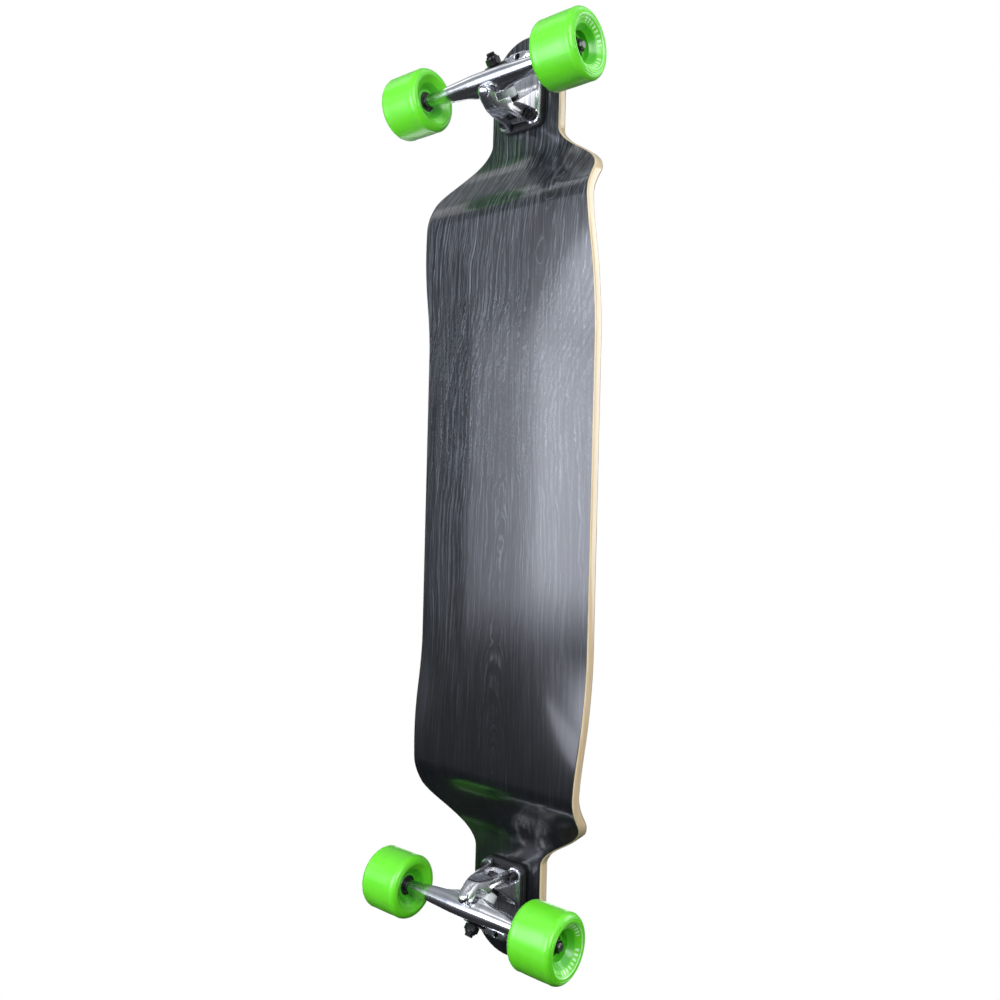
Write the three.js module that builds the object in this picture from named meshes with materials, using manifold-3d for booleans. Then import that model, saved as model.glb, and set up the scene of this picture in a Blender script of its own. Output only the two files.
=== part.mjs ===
// A drop-deck longboard skateboard with reverse-kingpin trucks, in millimetres.
// +X points to the nose, +Y to the rider's left and +Z up; the wheels stand on z = 0.
import * as THREE from "three";
import { ConvexGeometry } from "three/addons/geometries/ConvexGeometry.js";
import { mergeVertices } from "three/addons/utils/BufferGeometryUtils.js";
import Module from "manifold-3d";

const wasm = await Module();
wasm.setup();

// ---- driving dimensions ----------------------------------------------------

const GAP = 0.3; // between pieces that touch on the real board
const OVERRUN = 10; // of a cutter past what it cuts

const deckSize = {
  halfLength: 525.5,
  platformHalfWidth: 119.5, // between the drops
  waistHalfWidth: 114, // where the platform meets the drops
  neckHalfWidth: 48.5, // over the trucks
  thickness: 12.5,
  platformBottom: 64,
  neckBottom: 103,
  taperStart: 230, // the rails begin to draw in
  dropStart: 312, // the floor of the platform begins to rise
  dropEnd: 396,
  shoulderStart: 341, // the outline begins to cut in to the neck
  shoulderEnd: 412,
  shoulderSkew: 1.15,
  concaveRise: 14, // of the rails above the floor of the platform
  concaveFull: 165, // half-length with the whole concave
  concaveEnd: 315, // where the concave has faded out
  concaveFlat: 0.3, // part of the half-width that stays flat
};
const grip = { thickness: 0.8, inset: 1.5 };

const halfWheelbase = 450;
const axleHeight = 35;

const wheelSize = {
  radius: 35,
  innerFace: 79, // distances from the board's centre plane
  outerFace: 133,
  lip: 8, // rounding of the tread's edges
  recessRadius: 26.5,
  recessEdge: 1, // the mouth of the recess lies this far in from the face
  hubRadius: 14,
  hubProud: 0.8, // of the hub beyond the bearings
  ledgeRadius: 8.5, // between the two bearing seats
};
const bearingSize = { bore: 4.3, radius: 11, width: 7, inner: 91, outer: 108 };
const spacerRadius = 6;
const axleSize = { radius: 4, halfLength: 125, chamfer: 0.7 };
const axleNutSize = { flats: 12.7, height: 6.5, start: 116.3 };

const steerAngle = 50; // of the steering axis above the deck, in degrees
const leans = [-20, 0, 20].map(THREE.MathUtils.degToRad); // of the hanger: its limits and its rest
const ringCentre = new THREE.Vector3(7.5, 0, 57.3); // of the hanger's bushing seat, from the axle's foot

// Along the kingpin: distances from the middle of the hanger's bushing seat.
const kingpinSize = { radius: 4.7, flats: 14.2, headHeight: 6, headStart: 35, tip: -30 };
const kingpinNutHeight = 9;
const cupClearance = 0.7; // round the dished washer, as the hanger leans
const ringSize = { radius: 15, halfThickness: 4, hole: 8, rimRadius: 12.7, rimHeight: 2 };
const bushingSize = { radius: 12.2, bore: 5.2, boardHeight: 16, roadHeight: 11, roadTip: 10, band: 4 };
const washerSize = { radius: 12.8, thickness: 1.8 };
const roadCup = { radius: 14.2, wall: 1.6, depth: 4.2 }; // the dished washer next to the kingpin's nut

// Along the steering axis: distances from the same point, inwards to the pivot.
const pivotSize = {
  nose: 4.4,
  noseEnd: 36.5,
  noseTip: 2.2, // length of the nose's taper
  noseTaper: 1.6,
  noseRound: 0.4,
  root: 6.4, // radius of the hanger's arm behind the nose
  rootTaper: 0.5,
  rootStep: 0.8, // length of the step down from the arm to the nose
  rootStart: 18,
  rootEnd: 30.6,
  cupBore: 4.7,
  cupRadius: 6.4,
  cupFloor: 1.5,
  cupDraw: 1, // rise of the cup's floor at its wall
  housing: 8.5,
  housingTip: 5.5,
  mouth: 31.7,
  end: 41,
  backWall: 2.5, // of the housing behind the cup
};

const hangerSize = { halfLength: 90, tip: 6.4 };
// The tube's radii at distances from its middle.
const hangerTubeSteps = [
  [9.6, 10],
  [9.4, 22],
  [8.2, 44],
  [7.2, 66],
  [7, 84],
];
// Corners of the web on one side: up the steering axis, across, and up the kingpin from the seat ring.
const hangerWebCorners = [
  [-28, 9, 6.5],
  [-27, 21, 8],
  [-27.5, 23, -8],
  [-17, 18, 8],
  [-12.8, 20, -11],
  [-12.8, 12, 3.6],
  [0, 14, 3.6],
  [0, 14, -3.6],
  [-26, 50, 2.4],
  [-18, 50, 1.5],
  [-22, 76, -1.4],
];

const plateSize = {
  start: -32.5, // along x from the axle
  end: 52.5,
  halfWidth: 28,
  corner: 8,
  top: 97,
  thickness: 6,
};
// Corners of the wedge's foot on the plate: along x, and half the width there.
const wedgeFoot = [
  [-30, 14],
  [-24, 25.5],
  [6, 26.5],
  [20, 18],
];
const towerBack = { along: -37, halfWidth: 7, up: 17 }; // the wedge's back, in the kingpin's frame
const outerRib = { start: 40, end: 51, halfWidth: 13, bottom: 85, hole: 3.6, holeAlong: 46 };
const nutRoomRadius = 6.6;
const nutRoomDepth = 30; // through the wedge's foot
// The hollow round the kingpin's head, which widens towards the deck and deepens past its inner edge.
const headRoomSize = {
  halfWidth: 9.3,
  wideHalf: 17.5,
  wideHeight: 66,
  end: 9.5,
  innerEdge: -9.5,
  deepAlong: -40,
  deepHeight: 16,
};
const seatDepth = 12; // of solid metal under the kingpin's head
const webClearance = { top: 9.2, ring: 0.6, mouth: 0.2 }; // round the hanger's web and seat ring
const riserMargin = 1;
const boltPattern = {
  innerX: -24.6,
  outerX: 29.4,
  halfY: 20.6,
  radius: 2.4,
  tip: 84,
  head: 4.6,
  headDepth: 2.4,
  headEdge: 0.2,
};
const lockNut = { flats: 9.4, height: 5.5 };

const deckTop = deckSize.neckBottom + deckSize.thickness;
const gripTop = deckTop + GAP + grip.thickness;
const plateBottom = plateSize.top - plateSize.thickness;
const boltBore = boltPattern.radius + GAP;
const boltBoreSides = 8;
const belowDeck = plateBottom - OVERRUN; // cutters through the plate, the deck and the tape run from here
const aboveDeck = gripTop + OVERRUN;

// ---- finishes --------------------------------------------------------------

const finish = (color, roughness, metalness) => ({ color, roughness, metalness });
const finishes = {
  stainedWood: finish(0x1d2228, 0.3, 0),
  gripTape: finish(0x17181a, 0.95, 0),
  riserRubber: finish(0x101012, 0.7, 0),
  polishedAluminium: finish(0xc9ccd2, 0.22, 1),
  blackSteel: finish(0x121214, 0.4, 0.6),
  axleSteel: finish(0x9a9ca0, 0.35, 1),
  bushingUrethane: finish(0xd4d6da, 0.4, 0),
  wheelUrethane: finish(0x55d51c, 0.35, 0),
};

// ---- solids ----------------------------------------------------------------

// A closed geometry as a manifold-3d solid, so that it can be joined and cut.
function solidOf(geometry) {
  const bare = geometry.clone();
  bare.deleteAttribute("normal");
  bare.deleteAttribute("uv");
  const merged = mergeVertices(bare, 1e-4);
  return new wasm.Manifold(
    new wasm.Mesh({
      numProp: 3,
      vertProperties: merged.attributes.position.array,
      triVerts: new Uint32Array(merged.index.array),
    }),
  );
}

function geometryOf(solid) {
  const mesh = solid.getMesh();
  const geometry = new THREE.BufferGeometry();
  const position = new Float32Array(mesh.numVert * 3);
  for (let i = 0; i < mesh.numVert; i++) {
    const start = i * mesh.numProp;
    position.set(mesh.vertProperties.subarray(start, start + 3), i * 3);
  }
  geometry.setAttribute("position", new THREE.BufferAttribute(position, 3));
  geometry.setIndex(new THREE.BufferAttribute(mesh.triVerts, 1));
  const shaded = geometry.toNonIndexed();
  shaded.computeVertexNormals();
  return shaded;
}

const union = (solids) => solids.reduce((all, next) => all.add(next));
const without = (solid, cutters) => cutters.reduce((left, cutter) => left.subtract(cutter), solid);

// A turned shape about the Y axis from [radius, y] points.
function turned(points, segments) {
  return new THREE.LatheGeometry(
    points.map(([radius, along]) => new THREE.Vector2(radius, along)),
    segments,
  );
}

// A turned shape about the Z axis from [radius, z] points.
const turnedUp = (points, segments) => turned(points, segments).rotateX(Math.PI / 2);

// A turned ring's profile: out along its low end, up its outside and back down its bore.
const ringProfile = (bore, radius, low, high) => [
  [bore, low],
  [radius, low],
  [radius, high],
  [bore, high],
  [bore, low],
];

// A cylinder between two heights on the Z axis.
function post(radius, low, high, sides) {
  return new THREE.CylinderGeometry(radius, radius, high - low, sides)
    .rotateX(Math.PI / 2)
    .translate(0, 0, (low + high) / 2);
}

function box(low, high) {
  const size = high.map((value, i) => value - low[i]);
  const centre = high.map((value, i) => (value + low[i]) / 2);
  return new THREE.BoxGeometry(...size).translate(...centre);
}

const hull = (points) => new ConvexGeometry(points.map((point) => new THREE.Vector3(...point)));

// A hexagonal prism with a bore, between two heights on the Z axis.
function nut(flats, bore, low, high) {
  const corner = flats / Math.sqrt(3);
  const outline = new THREE.Shape();
  for (let i = 0; i < 6; i++) {
    const angle = (i * Math.PI) / 3;
    const point = [corner * Math.cos(angle), corner * Math.sin(angle)];
    if (i === 0) outline.moveTo(...point);
    else outline.lineTo(...point);
  }
  outline.closePath();
  const hole = new THREE.Path();
  hole.absarc(0, 0, bore, 0, 2 * Math.PI, true);
  outline.holes.push(hole);
  return new THREE.ExtrudeGeometry(outline, {
    depth: high - low,
    bevelEnabled: false,
    curveSegments: 6,
  }).translate(0, 0, low);
}

// A rounded rectangle seen from above.
function roundedOutline(x0, x1, halfWidth, corner) {
  const outline = new THREE.Shape();
  outline.moveTo(x0 + corner, -halfWidth);
  outline.absarc(x1 - corner, -halfWidth + corner, corner, -Math.PI / 2, 0, false);
  outline.absarc(x1 - corner, halfWidth - corner, corner, 0, Math.PI / 2, false);
  outline.absarc(x0 + corner, halfWidth - corner, corner, Math.PI / 2, Math.PI, false);
  outline.absarc(x0 + corner, -halfWidth + corner, corner, Math.PI, 1.5 * Math.PI, false);
  return outline;
}

const slab = (outline, low, high) =>
  new THREE.ExtrudeGeometry(outline, {
    depth: high - low,
    bevelEnabled: false,
    curveSegments: 4,
  }).translate(0, 0, low);

// ---- frames ----------------------------------------------------------------

// The kingpin's frame: +Z runs up the kingpin to the deck, +X up the steering axis, and its
// origin is the middle of the hanger's bushing seat.
const kingpinFrame = new THREE.Matrix4().compose(
  ringCentre,
  new THREE.Quaternion().setFromEuler(new THREE.Euler(0, -THREE.MathUtils.degToRad(steerAngle), 0)),
  new THREE.Vector3(1, 1, 1),
);
const onKingpin = (geometry) => geometry.applyMatrix4(kingpinFrame);

function add(group, name, geometry, look) {
  const mesh = new THREE.Mesh(geometry, new THREE.MeshStandardMaterial(look));
  mesh.name = name;
  group.add(mesh);
  return mesh;
}

const boltPlaces = [];
for (const x of [boltPattern.innerX, boltPattern.outerX]) {
  for (const side of [1, -1]) boltPlaces.push([x, side * boltPattern.halfY]);
}

// ---- deck and grip tape ----------------------------------------------------

const clamp01 = (value) => Math.min(1, Math.max(0, value));
const ease = (value) => 0.5 - 0.5 * Math.cos(Math.PI * clamp01(value));
const share = (value, start, end) => clamp01((value - start) / (end - start));

function halfWidthAt(x) {
  const d = deckSize;
  const along = Math.abs(x);
  const endCentre = d.halfLength - d.neckHalfWidth;
  if (along >= endCentre) {
    return Math.sqrt(Math.max(0, d.neckHalfWidth ** 2 - (along - endCentre) ** 2));
  }
  const taper = ease(share(along, d.taperStart, d.shoulderStart));
  const rail = d.platformHalfWidth + (d.waistHalfWidth - d.platformHalfWidth) * taper;
  const shoulder = ease(share(along, d.shoulderStart, d.shoulderEnd) ** d.shoulderSkew);
  return rail + (d.neckHalfWidth - rail) * shoulder;
}

// Height of the deck's underside, at a part of the half-width from -1 to 1.
function undersideAt(x, across) {
  const d = deckSize;
  const along = Math.abs(x);
  const drop = (d.neckBottom - d.platformBottom) * ease(share(along, d.dropStart, d.dropEnd));
  const fade = 1 - ease(share(along, d.concaveFull, d.concaveEnd));
  const rail = share(Math.abs(across), d.concaveFlat, 1) ** 2;
  return d.platformBottom + drop + d.concaveRise * fade * rail;
}

// The vertical thickness grows on the drops, so that the boards keep their thickness.
function thicknessAt(x) {
  const step = 1;
  const slope = (undersideAt(x + step, 0) - undersideAt(x - step, 0)) / (2 * step);
  return deckSize.thickness * Math.hypot(1, slope);
}

function deckStations() {
  const d = deckSize;
  const half = [0];
  const stretch = (end, count) => {
    const start = half[half.length - 1];
    for (let i = 1; i <= count; i++) half.push(start + ((end - start) * i) / count);
  };
  stretch(d.concaveFull, 2);
  stretch(d.dropStart, 4);
  stretch(d.shoulderEnd, 9);
  const endCentre = d.halfLength - d.neckHalfWidth;
  stretch(endCentre, 1);
  const turns = 6;
  for (let i = 1; i <= turns; i++) {
    half.push(endCentre + d.neckHalfWidth * Math.sin((i * Math.PI) / (2 * turns)));
  }
  const mirrored = half.slice(1).map((x) => -x);
  return [...mirrored.reverse(), ...half];
}

// A sheet that follows the deck between two heights given by functions of x and the part across.
function deckSheet(lowAt, highAt, inset) {
  const d = deckSize;
  const stations = deckStations();
  const acrossHalf = [d.concaveFlat, 0.55, 0.78, 1];
  const across = [...acrossHalf.map((t) => -t).reverse(), ...acrossHalf];
  const shrink = (d.halfLength - inset) / d.halfLength;
  const position = [];
  const index = [];
  for (const station of stations) {
    const x = station * shrink;
    const width = Math.max(0, halfWidthAt(station) - inset);
    for (const heightAt of [lowAt, highAt]) {
      for (const t of across) position.push(x, t * width, heightAt(x, t));
    }
  }
  const row = 2 * across.length;
  const face = (a, b, c, e) => index.push(a, b, c, a, c, e);
  for (let i = 0; i + 1 < stations.length; i++) {
    const here = i * row;
    const next = here + row;
    for (let j = 0; j + 1 < across.length; j++) {
      const top = j + across.length;
      face(here + j, here + j + 1, next + j + 1, next + j);
      face(here + top, next + top, next + top + 1, here + top + 1);
    }
    const last = across.length - 1;
    face(here, next, next + across.length, here + across.length);
    face(here + last, here + row - 1, next + row - 1, next + last);
  }
  const geometry = new THREE.BufferGeometry();
  geometry.setAttribute("position", new THREE.Float32BufferAttribute(position, 3));
  geometry.setIndex(index);
  const merged = mergeVertices(geometry, 1e-3);
  const kept = [];
  for (let i = 0; i < merged.index.count; i += 3) {
    const [a, b, c] = [0, 1, 2].map((k) => merged.index.getX(i + k));
    if (a !== b && b !== c && a !== c) kept.push(a, b, c);
  }
  merged.setIndex(kept);
  return merged;
}

// The holes for the mounting bolts through the deck or the grip tape, at both trucks.
function boltHoles(radius, headRadius, headLow) {
  const profile = [
    [0, belowDeck],
    [radius, belowDeck],
    [radius, headLow],
    [headRadius, headLow + headRadius - radius],
    [headRadius, aboveDeck],
    [0, aboveDeck],
  ];
  const cutters = [];
  for (const [x, y] of boltPlaces) {
    for (const side of [1, -1]) {
      const hole = turnedUp(profile, boltBoreSides);
      cutters.push(solidOf(hole.translate(side * (halfWheelbase + x), side * y, 0)));
    }
  }
  return cutters;
}

function makeDeck(group) {
  const topAt = (x, t) => undersideAt(x, t) + thicknessAt(x);
  const board = solidOf(deckSheet(undersideAt, topAt, 0));
  const headSeat = gripTop - boltPattern.headDepth - GAP * 2;
  const holes = boltHoles(boltBore, boltPattern.head + GAP, headSeat);
  add(group, "deck", geometryOf(without(board, holes)), finishes.stainedWood);

  const tapeLow = (x, t) => topAt(x, t) + GAP;
  const tapeHigh = (x, t) => tapeLow(x, t) + grip.thickness;
  const tape = solidOf(deckSheet(tapeLow, tapeHigh, grip.inset));
  const tapeHoles = boltHoles(boltPattern.head + GAP, boltPattern.head + 2 * GAP, plateBottom);
  add(group, "grip_tape", geometryOf(without(tape, tapeHoles)), finishes.gripTape);
}

// ---- truck -----------------------------------------------------------------

// Cutters for the mounting bolts through one truck's plate or riser.
const truckBoltBores = () =>
  boltPlaces.map(([x, y]) => {
    const bore = post(boltBore, belowDeck, aboveDeck, boltBoreSides);
    return solidOf(bore.translate(x, y, 0));
  });

function makeRiser(group, end) {
  const outline = roundedOutline(
    plateSize.start - riserMargin,
    plateSize.end + riserMargin,
    plateSize.halfWidth + riserMargin,
    plateSize.corner + riserMargin,
  );
  const pad = solidOf(slab(outline, plateSize.top + GAP, deckSize.neckBottom - GAP));
  add(group, `${end}_riser_pad`, geometryOf(without(pad, truckBoltBores())), finishes.riserRubber);
}

function makeMountingHardware(group, end) {
  const bolt = boltPattern;
  const profile = [
    [0, bolt.tip],
    [bolt.radius, bolt.tip],
    [bolt.radius, gripTop - bolt.headDepth],
    [bolt.head, gripTop - bolt.headEdge],
    [bolt.head, gripTop],
    [0, gripTop],
  ];
  const nutTop = plateBottom - GAP;
  boltPlaces.forEach(([x, y], i) => {
    const number = i + 1;
    const screw = add(group, `${end}_mounting_bolt_${number}`, turnedUp(profile, 10), finishes.blackSteel);
    screw.position.set(x, y, 0);
    const hexagon = nut(lockNut.flats, boltBore, nutTop - lockNut.height, nutTop);
    const lock = add(group, `${end}_lock_nut_${number}`, hexagon, finishes.blackSteel);
    lock.position.set(x, y, 0);
  });
}

// A shape turned about the steering axis from [radius, distance inwards] points.
const onSteeringAxis = (points, segments) => onKingpin(turnedUp(points, segments).rotateY(-Math.PI / 2));

// The wedge between the plate and the pivot cup's housing carries the kingpin's seat.
function wedgeHull() {
  const p = pivotSize;
  const housing = onSteeringAxis(
    [
      [0, p.mouth],
      [p.housing, p.mouth],
      [p.housing, p.end - p.housing + p.housingTip],
      [p.housingTip, p.end],
      [0, p.end],
    ],
    20,
  );
  const corners = housing.attributes.position;
  const points = [];
  for (let i = 0; i < corners.count; i++) {
    points.push([corners.getX(i), corners.getY(i), corners.getZ(i)]);
  }
  const inPlate = plateBottom + 1;
  const back = new THREE.Vector3();
  for (const side of [1, -1]) {
    for (const [x, halfWidth] of wedgeFoot) points.push([x, side * halfWidth, inPlate]);
    back.set(towerBack.along, side * towerBack.halfWidth, towerBack.up).applyMatrix4(kingpinFrame);
    points.push(back.toArray());
  }
  return solidOf(hull(points));
}

// Room for the seat ring, the bushings and the hanger's web under the kingpin's seat.
function wedgeRooms() {
  const far = 70;
  const wide = 40;
  const seat = kingpinSize.headStart - seatDepth;
  const ringEdge = -ringSize.radius - webClearance.ring;
  const webLow = [-pivotSize.mouth + webClearance.mouth, -wide, -far];
  const webHigh = [ringEdge + 1, wide, webClearance.top];
  return [
    solidOf(onKingpin(box([ringEdge, -wide, -far], [far, wide, seat]))),
    ...leans.map((lean) => solidOf(onKingpin(box(webLow, webHigh).rotateX(lean)))),
  ];
}

function makeBaseplate(group, end) {
  const outline = roundedOutline(plateSize.start, plateSize.end, plateSize.halfWidth, plateSize.corner);
  const plate = solidOf(slab(outline, plateBottom, plateSize.top));
  const rib = outerRib;
  const ribBlock = box([rib.start, -rib.halfWidth, rib.bottom], [rib.end, rib.halfWidth, plateBottom + 1]);
  const body = union([plate, without(wedgeHull(), wedgeRooms()), solidOf(ribBlock)]);

  const k = kingpinSize;
  const p = pivotSize;
  const room = headRoomSize;
  const far = 80;
  const roomLow = k.headStart - GAP;
  const roomCorners = [];
  const deepCorners = [];
  for (const side of [1, -1]) {
    for (const along of [-far, room.end]) {
      roomCorners.push([along, side * room.halfWidth, roomLow]);
      roomCorners.push([along, side * room.wideHalf, room.wideHeight]);
      roomCorners.push([along, side * room.wideHalf, far]);
    }
    deepCorners.push([room.innerEdge, side * room.halfWidth, roomLow]);
    deepCorners.push([room.innerEdge, side * room.wideHalf, room.wideHeight]);
    deepCorners.push([room.deepAlong, side * room.halfWidth, room.deepHeight]);
    deepCorners.push([room.deepAlong, side * room.wideHalf, room.wideHeight]);
  }
  const cupBore = [
    [0, p.mouth - OVERRUN],
    [p.cupRadius + GAP, p.mouth - OVERRUN],
    [p.cupRadius + GAP, p.end - p.backWall],
    [0, p.end - p.backWall],
  ];
  const ribHole = post(rib.hole, rib.bottom - OVERRUN, plateSize.top + OVERRUN, 12);
  const nutRooms = boltPlaces.map(([x, y]) => {
    const room = post(nutRoomRadius, plateBottom - nutRoomDepth, plateBottom, 12);
    return solidOf(room.translate(x, y, 0));
  });
  const cut = without(body, [
    solidOf(onKingpin(post(k.radius + GAP, 0, far, 16))),
    solidOf(onKingpin(hull(roomCorners))),
    solidOf(onKingpin(hull(deepCorners))),
    solidOf(onSteeringAxis(cupBore, 20)),
    solidOf(ribHole.translate(rib.holeAlong, 0, 0)),
    ...nutRooms,
    ...truckBoltBores(),
  ]);
  add(group, `${end}_baseplate`, geometryOf(cut), finishes.polishedAluminium);
}

function makePivotCup(group, end) {
  const p = pivotSize;
  const high = p.end - p.backWall - GAP;
  const profile = [
    [p.cupBore, p.mouth],
    [p.cupRadius, p.mouth],
    [p.cupRadius, high],
    [0, high],
    [0, high - p.cupFloor],
    [p.cupBore, high - p.cupFloor - p.cupDraw],
    [p.cupBore, p.mouth],
  ];
  add(group, `${end}_pivot_cup`, onSteeringAxis(profile, 14), finishes.bushingUrethane);
}

// The kingpin, and the bushings, washers and nut on it, from the deck down.
function makeKingpin(group, end) {
  const k = kingpinSize;
  const b = bushingSize;
  const w = washerSize;
  const onPin = (name, geometry, look) => add(group, `${end}_${name}`, onKingpin(geometry), look);
  const shank = solidOf(post(k.radius, k.tip, k.headStart + 1, 12));
  const head = solidOf(post(k.flats / Math.sqrt(3), k.headStart, k.headStart + k.headHeight, 6));
  onPin("kingpin", geometryOf(shank.add(head)), finishes.blackSteel);

  const washerBore = k.radius + GAP;
  const washer = (low) => turnedUp(ringProfile(washerBore, w.radius, low, low + w.thickness), 18);
  const boardLow = ringSize.halfThickness + GAP;
  const boardHigh = boardLow + b.boardHeight;
  const boardBushing = turnedUp(ringProfile(b.bore, b.radius, boardLow, boardHigh), 18);
  onPin("board_side_bushing", boardBushing, finishes.bushingUrethane);
  onPin("board_side_washer", washer(boardHigh + GAP), finishes.blackSteel);

  const roadHigh = -boardLow;
  const roadLow = roadHigh - b.roadHeight;
  const roadBushing = [
    [b.bore, roadLow],
    [b.roadTip, roadLow],
    [b.radius, roadHigh - b.band],
    [b.radius, roadHigh],
    [b.bore, roadHigh],
    [b.bore, roadLow],
  ];
  onPin("road_side_bushing", turnedUp(roadBushing, 18), finishes.bushingUrethane);
  const cup = roadCup;
  const cupLow = roadLow - GAP - w.thickness;
  const dish = [
    [washerBore, cupLow],
    [cup.radius, cupLow],
    [cup.radius, cupLow + cup.depth],
    [cup.radius - cup.wall, cupLow + cup.depth],
    [cup.radius - cup.wall, cupLow + w.thickness],
    [washerBore, cupLow + w.thickness],
    [washerBore, cupLow],
  ];
  onPin("road_side_washer", turnedUp(dish, 18), finishes.blackSteel);
  const nutHigh = cupLow - GAP;
  onPin("kingpin_nut", nut(k.flats, washerBore, nutHigh - kingpinNutHeight, nutHigh), finishes.blackSteel);
}

// The tube that the axle runs through, from the centre outwards.
function hangerTube() {
  const h = hangerSize;
  const half = [...hangerTubeSteps, [h.tip, h.halfLength], [0, h.halfLength]];
  const mirrored = half.map(([radius, y]) => [radius, -y]).reverse();
  return solidOf(turned([...mirrored, ...half], 18).translate(0, 0, axleHeight));
}

// The web that spreads from the seat ring and the pivot's arm to the tube.
function hangerWeb() {
  const points = [];
  for (const [along, across, up] of hangerWebCorners) {
    points.push([along, across, up]);
    points.push([along, -across, up]);
  }
  return solidOf(onKingpin(hull(points)));
}

function makeHanger(group, end) {
  const ring = ringSize;
  const p = pivotSize;
  const h = hangerSize;
  const rim = ring.halfThickness + ring.rimHeight;
  const seatRing = solidOf(onKingpin(post(ring.radius, -rim, rim, 24)));
  const arm = onSteeringAxis(
    [
      [0, p.rootStart],
      [p.root, p.rootStart],
      [p.root - p.rootTaper, p.rootEnd],
      [p.nose, p.rootEnd + p.rootStep],
      [p.nose, p.noseEnd - p.noseTip],
      [p.nose - p.noseTaper, p.noseEnd - p.noseRound],
      [0, p.noseEnd],
    ],
    14,
  );
  const far = 40;
  const axleBore = axleSize.radius + GAP;
  const bore = turned(
    [
      [0, -h.halfLength - OVERRUN],
      [axleBore, -h.halfLength - OVERRUN],
      [axleBore, h.halfLength + OVERRUN],
      [0, h.halfLength + OVERRUN],
    ],
    12,
  );
  const cupTop = -ring.halfThickness - bushingSize.roadHeight + roadCup.depth - washerSize.thickness;
  const cupRoom = (lean) =>
    solidOf(onKingpin(post(roadCup.radius + cupClearance, -far, cupTop, 24).rotateX(lean)));
  const cutters = [
    ...leans.map(cupRoom),
    solidOf(onKingpin(post(ring.hole, -far, far, 16))),
    solidOf(onKingpin(post(ring.rimRadius, ring.halfThickness, far, 20))),
    solidOf(onKingpin(post(ring.rimRadius, -far, -ring.halfThickness, 20))),
    solidOf(bore.translate(0, 0, axleHeight)),
  ];
  const body = union([hangerTube(), hangerWeb(), seatRing, solidOf(arm)]);
  add(group, `${end}_hanger`, geometryOf(without(body, cutters)), finishes.polishedAluminium);
}

function makeAxle(group, end) {
  const a = axleSize;
  const profile = [
    [0, -a.halfLength],
    [a.radius - a.chamfer, -a.halfLength],
    [a.radius, -a.halfLength + a.chamfer],
    [a.radius, a.halfLength - a.chamfer],
    [a.radius - a.chamfer, a.halfLength],
    [0, a.halfLength],
  ];
  add(group, `${end}_axle`, turned(profile, 12).translate(0, 0, axleHeight), finishes.axleSteel);
}

// ---- wheel -----------------------------------------------------------------

function wheelProfile() {
  const w = wheelSize;
  const b = bearingSize;
  const seat = b.radius + GAP;
  const ledgeLow = b.inner + b.width + GAP;
  const ledgeHigh = b.outer - GAP;
  const hubLow = b.inner - w.hubProud;
  const hubHigh = b.outer + b.width + w.hubProud;
  const crown = w.radius - w.lip;
  const lipAngles = [0, Math.PI / 4, Math.PI / 2];
  const innerLip = lipAngles.map((angle) => [
    crown + w.lip * Math.sin(angle),
    w.innerFace + w.lip - w.lip * Math.cos(angle),
  ]);
  const outerLip = lipAngles.map((angle) => [
    crown + w.lip * Math.cos(angle),
    w.outerFace - w.lip + w.lip * Math.sin(angle),
  ]);
  return [
    [w.ledgeRadius, ledgeLow],
    [seat, ledgeLow],
    [seat, hubLow],
    [w.hubRadius, hubLow],
    [w.recessRadius, w.innerFace + w.recessEdge],
    ...innerLip,
    ...outerLip,
    [w.recessRadius, w.outerFace - w.recessEdge],
    [w.hubRadius, hubHigh],
    [seat, hubHigh],
    [seat, ledgeHigh],
    [w.ledgeRadius, ledgeHigh],
    [w.ledgeRadius, ledgeLow],
  ];
}

// A wheel, what it holds, and the nut that keeps it on the axle, at one end of the axle.
function makeWheel(group, end, side, sideName) {
  const wheelGroup = new THREE.Group();
  wheelGroup.position.set(0, 0, axleHeight);
  if (side < 0) wheelGroup.rotation.z = Math.PI;
  group.add(wheelGroup);
  const name = `${end}_${sideName}`;
  const b = bearingSize;
  add(wheelGroup, `${name}_wheel`, turned(wheelProfile(), 30), finishes.wheelUrethane);
  for (const place of ["inner", "outer"]) {
    const ring = turned(ringProfile(b.bore, b.radius, b[place], b[place] + b.width), 18);
    add(wheelGroup, `${name}_${place}_bearing`, ring, finishes.blackSteel);
  }
  const spacer = ringProfile(b.bore, spacerRadius, b.inner + b.width + GAP, b.outer - GAP);
  add(wheelGroup, `${name}_bearing_spacer`, turned(spacer, 12), finishes.axleSteel);
  const n = axleNutSize;
  const hexagon = nut(n.flats, axleSize.radius + GAP, n.start, n.start + n.height);
  add(wheelGroup, `${name}_axle_nut`, hexagon.rotateX(-Math.PI / 2), finishes.blackSteel);
}

function makeTruck(end, facing) {
  const group = new THREE.Group();
  group.position.x = facing * halfWheelbase;
  if (facing < 0) group.rotation.z = Math.PI;
  makeRiser(group, end);
  makeMountingHardware(group, end);
  makeBaseplate(group, end);
  makePivotCup(group, end);
  makeKingpin(group, end);
  makeHanger(group, end);
  makeAxle(group, end);
  for (const side of [1, -1]) {
    makeWheel(group, end, side, side * facing > 0 ? "left" : "right");
  }
  return group;
}

// ---- assembly --------------------------------------------------------------

const longboard = new THREE.Group();
makeDeck(longboard);
longboard.add(makeTruck("front", 1), makeTruck("rear", -1));

export default longboard;
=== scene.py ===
# A drop-deck longboard's looks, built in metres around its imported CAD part.
import math

import bmesh
import bpy
import numpy as np
from mathutils import Matrix, Vector


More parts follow.
